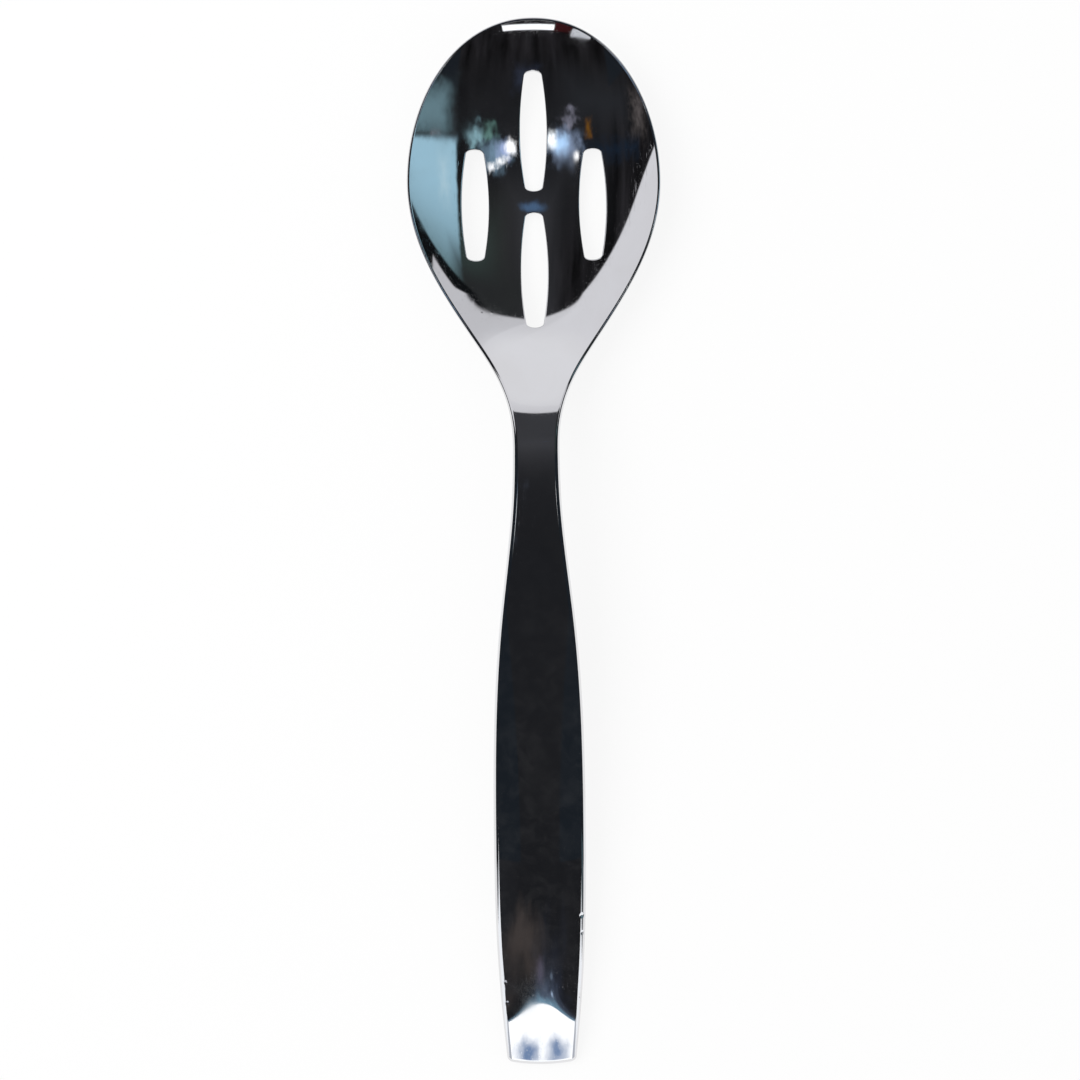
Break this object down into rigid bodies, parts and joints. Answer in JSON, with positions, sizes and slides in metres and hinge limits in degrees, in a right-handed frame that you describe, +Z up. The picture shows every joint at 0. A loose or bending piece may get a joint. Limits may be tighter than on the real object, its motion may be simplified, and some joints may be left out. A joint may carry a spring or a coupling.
{
  "type": "slotted serving spoon",
  "caption": "Polished one-piece serving spoon with draining slots in an oval bowl and a broad, gently arched handle with a blunt end.",
  "frame": {"origin": "centre of the spoon's length and width, at the surface that the spoon lies on", "axes": "+Y along the spoon from the handle to the tip of the bowl, +X across it, +Z up out of the bowl's hollow"},
  "size_m": [0.0612, 0.254, 0.0209],
  "materials": {
    "polished_steel": "mirror polished stainless steel"
  },
  "bodies": {
    "root": {"spoon": "polished_steel"}
  },
  "joints": []
}
